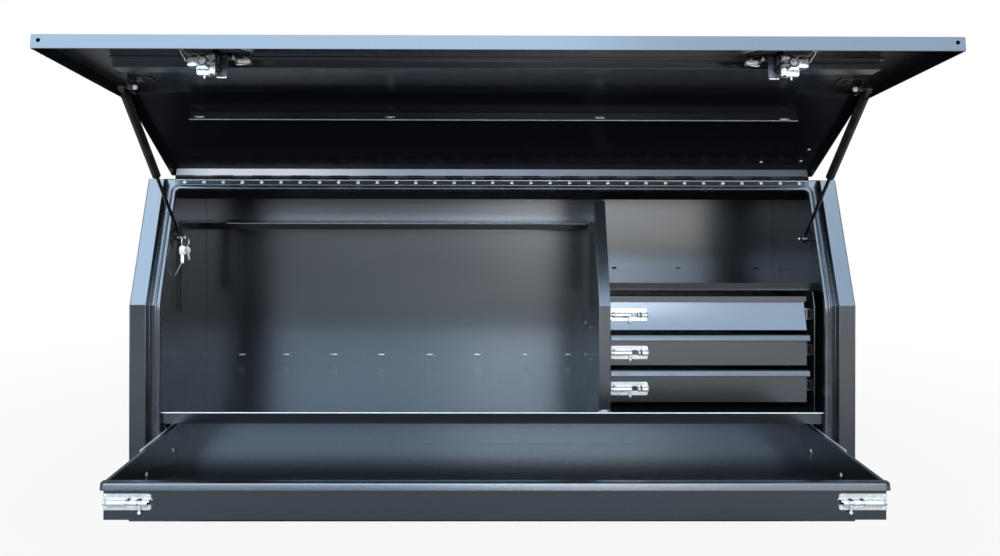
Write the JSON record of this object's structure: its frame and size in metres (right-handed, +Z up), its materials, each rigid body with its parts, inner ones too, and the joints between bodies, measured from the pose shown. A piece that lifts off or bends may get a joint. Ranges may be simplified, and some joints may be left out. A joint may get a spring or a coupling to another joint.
{
  "type": "toolbox with drawers",
  "caption": "Low full-width steel tool cabinet with a bent lift-up front lid on gas struts, shelves, a stack of small drawers and a wide bottom drawer with barrel bolts.",
  "frame": {"origin": "centre of the base's underside", "axes": "+X to the right along the length, +Y to the back, +Z up"},
  "size_m": [1.7, 1.1758, 1.0479],
  "materials": {
    "powder_coat": "satin black powder coat",
    "seal_rubber": "matte",
    "zinc": "zinc plated",
    "hinge_steel": "black zinc",
    "strut_black": "gloss black",
    "strut_rod": "black nitrided",
    "latch_cast": "bright cast zinc"
  },
  "bodies": {
    "root": {"base_panel": "powder_coat", "back_panel": "powder_coat", "left_side_panel": "powder_coat", "right_side_panel": "powder_coat", "top_panel": "powder_coat", "left_door_frame": "powder_coat", "right_door_frame": "powder_coat", "header_frame": "powder_coat", "sill_frame": "powder_coat", "door_seal": "seal_rubber", "mid_shelf": "powder_coat", "divider": "powder_coat", "upper_shelf": "powder_coat", "drawer_cabinet_side": "powder_coat", "adjustable_shelf": "powder_coat", "shelf_supports": "powder_coat", "shelf_uprights": "powder_coat", "hinge_body_leaf": "hinge_steel", "hinge_pin": "zinc", "hinge_rivets": "zinc", "strut_lower_brackets": "strut_black", "slide_carriers": "powder_coat", "big_slide_rails": "zinc", "small_slide_rails": "zinc", "latch_strikers": "powder_coat"},
    "lid": {"lid_panel": "powder_coat", "lid_front_stiffener": "powder_coat", "lid_rear_stiffener": "powder_coat", "hinge_lid_leaf": "hinge_steel", "strut_upper_brackets": "strut_black", "latch_housings": "latch_cast"},
    "left_latch_handle_body": {"left_latch_handle": "latch_cast"},
    "right_latch_handle_body": {"right_latch_handle": "latch_cast"},
    "left_latch_cam_body": {"left_latch_cam": "latch_cast"},
    "right_latch_cam_body": {"right_latch_cam": "latch_cast"},
    "left_strut_rod_body": {"left_strut_rod": "strut_rod"},
    "right_strut_rod_body": {"right_strut_rod": "strut_rod"},
    "left_strut_cylinder_body": {"left_strut_cylinder": "strut_black"},
    "right_strut_cylinder_body": {"right_strut_cylinder": "strut_black"},
    "big_drawer": {"big_drawer_tray": "powder_coat", "big_drawer_front": "powder_coat", "big_drawer_runners": "zinc", "big_bolt_plates": "zinc"},
    "big_slide_middle_body": {"big_slide_middles": "zinc"},
    "left_big_bolt_body": {"left_big_bolt": "zinc"},
    "right_big_bolt_body": {"right_big_bolt": "zinc"},
    "keys": {"key_ring": "zinc"},
    "lower_drawer": {"lower_drawer_tray": "powder_coat", "lower_drawer_runners": "zinc", "lower_bolt_plate": "zinc"},
    "lower_bolt_body": {"lower_bolt": "zinc"},
    "middle_drawer": {"middle_drawer_tray": "powder_coat", "middle_drawer_runners": "zinc", "middle_bolt_plate": "zinc"},
    "middle_bolt_body": {"middle_bolt": "zinc"},
    "upper_drawer": {"upper_drawer_tray": "powder_coat", "upper_drawer_runners": "zinc", "upper_bolt_plate": "zinc"},
    "upper_bolt_body": {"upper_bolt": "zinc"}
  },
  "joints": [
    {"name": "lid_hinge", "type": "hinge", "parent": "root", "child": "lid", "pos_m": [0, -0.15001, 0.805], "axis": [-1, 0, 0], "range_deg": [-66, 0], "stiffness_Nm_per_rad": 60, "springref_deg": 137.51},
    {"name": "big_drawer_slide", "type": "slide", "parent": "root", "child": "big_drawer", "axis": [0, -1, 0], "range_m": [-0.414, 0.036]},
    {"name": "big_slide_middle", "type": "slide", "parent": "root", "child": "big_slide_middle_body", "axis": [0, -1, 0], "range_m": [-0.2071, 0.0181]},
    {"name": "left_strut_swing", "type": "hinge", "parent": "root", "child": "left_strut_rod_body", "pos_m": [-0.766, -0.193, 0.656], "axis": [-1, 0, 0], "range_deg": [-67.42, 0.1]},
    {"name": "left_strut_slide", "type": "slide", "parent": "left_strut_rod_body", "child": "left_strut_cylinder_body", "axis": [0, -0.7411, 0.6714], "range_m": [-0.17098, 0.0005]},
    {"name": "left_latch_handle_fold", "type": "hinge", "parent": "lid", "child": "left_latch_handle_body", "pos_m": [-0.541, -0.78564, 1.03567], "axis": [0, -0.9925, 0.1219], "range_deg": [0, 60]},
    {"name": "left_latch_cam_turn", "type": "hinge", "parent": "lid", "child": "left_latch_cam_body", "pos_m": [-0.505, -0.78948, 1.0044], "axis": [0, 0.1219, 0.9925], "range_deg": [-0.1, 90.1]},
    {"name": "left_big_bolt_slide", "type": "slide", "parent": "big_drawer", "child": "left_big_bolt_body", "axis": [-1, 0, 0], "range_m": [0, 0.02]},
    {"name": "right_strut_swing", "type": "hinge", "parent": "root", "child": "right_strut_rod_body", "pos_m": [0.766, -0.193, 0.656], "axis": [-1, 0, 0], "range_deg": [-67.42, 0.1]},
    {"name": "right_strut_slide", "type": "slide", "parent": "right_strut_rod_body", "child": "right_strut_cylinder_body", "axis": [0, -0.7411, 0.6714], "range_m": [-0.17098, 0.0005]},
    {"name": "right_latch_handle_fold", "type": "hinge", "parent": "lid", "child": "right_latch_handle_body", "pos_m": [0.541, -0.78564, 1.03567], "axis": [0, 0.9925, -0.1219], "range_deg": [0, 60]},
    {"name": "right_latch_cam_turn", "type": "hinge", "parent": "lid", "child": "right_latch_cam_body", "pos_m": [0.505, -0.78948, 1.0044], "axis": [0, -0.1219, -0.9925], "range_deg": [-0.1, 90.1]},
    {"name": "right_big_bolt_slide", "type": "slide", "parent": "big_drawer", "child": "right_big_bolt_body", "axis": [1, 0, 0], "range_m": [0, 0.02]},
    {"name": "lower_drawer_slide", "type": "slide", "parent": "root", "child": "lower_drawer", "axis": [0, -1, 0], "range_m": [0, 0.35]},
    {"name": "lower_bolt_slide", "type": "slide", "parent": "lower_drawer", "child": "lower_bolt_body", "axis": [-1, 0, 0], "range_m": [0, 0.012]},
    {"name": "middle_drawer_slide", "type": "slide", "parent": "root", "child": "middle_drawer", "axis": [0, -1, 0], "range_m": [0, 0.35]},
    {"name": "middle_bolt_slide", "type": "slide", "parent": "middle_drawer", "child": "middle_bolt_body", "axis": [-1, 0, 0], "range_m": [0, 0.012]},
    {"name": "upper_drawer_slide", "type": "slide", "parent": "root", "child": "upper_drawer", "axis": [0, -1, 0], "range_m": [0, 0.35]},
    {"name": "upper_bolt_slide", "type": "slide", "parent": "upper_drawer", "child": "upper_bolt_body", "axis": [-1, 0, 0], "range_m": [0, 0.012]},
    {"name": "key_ring_swing", "type": "hinge", "parent": "root", "child": "keys", "pos_m": [-0.754, -0.193, 0.656], "axis": [1, 0, 0], "range_deg": [-20, 20]}
  ],
  "couplings": [
    {"joint": "big_slide_middle", "follows": "big_drawer_slide", "ratio": 0.5},
    {"joint": "left_strut_swing", "follows": "lid_hinge", "ratio": 1.02},
    {"joint": "left_strut_slide", "follows": "lid_hinge", "m_per_rad": 0.148},
    {"joint": "left_latch_cam_turn", "follows": "left_latch_handle_fold", "ratio": 1.5},
    {"joint": "right_strut_swing", "follows": "lid_hinge", "ratio": 1.02},
    {"joint": "right_strut_slide", "follows": "lid_hinge", "m_per_rad": 0.148},
    {"joint": "right_latch_cam_turn", "follows": "right_latch_handle_fold", "ratio": 1.5}
  ]
}
